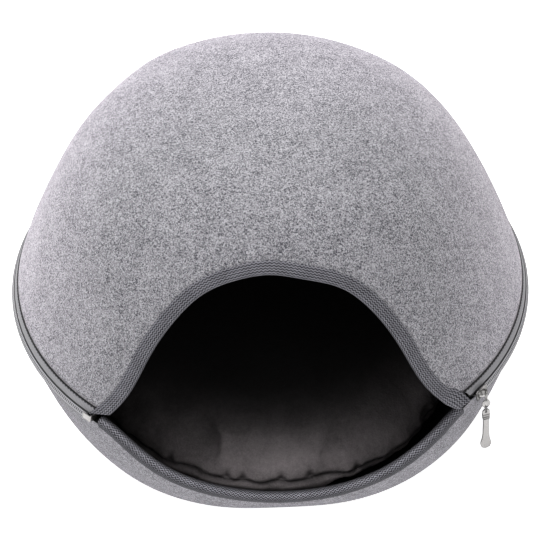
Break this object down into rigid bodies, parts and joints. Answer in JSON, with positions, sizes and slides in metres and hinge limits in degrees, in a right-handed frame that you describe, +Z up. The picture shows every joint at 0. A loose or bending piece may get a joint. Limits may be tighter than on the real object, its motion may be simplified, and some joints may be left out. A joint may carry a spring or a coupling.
{
  "type": "felt cat cave",
  "caption": "Covered felt bed: a domed top zipped all round onto a bowl, with a wide bound mouth in front and a loose round cushion inside.",
  "frame": {"origin": "middle of the flat base, on the surface the bed rests on", "axes": "+Z up; the mouth faces -Y; +X is to the right when looking into the mouth"},
  "size_m": [0.401, 0.3893, 0.264],
  "materials": {
    "felt": "mottled grey needled felt",
    "binding": "dark grey woven tape",
    "zip_tape": "grey woven zip tape",
    "zip_coil": "grey nylon coil",
    "nickel": "nickel plated, slightly dull",
    "plush": "dark plush"
  },
  "bodies": {
    "root": {"dome_felt": "felt", "bowl_felt": "felt", "arch_binding": "binding", "lip_binding": "binding", "zip_tape_upper": "zip_tape", "zip_tape_lower": "zip_tape", "zip_chain": "zip_coil", "zip_slider": "nickel", "zip_link": "nickel", "zip_ring": "nickel", "zip_pull": "nickel", "zip_stop": "nickel", "cushion": "plush"}
  },
  "joints": []
}
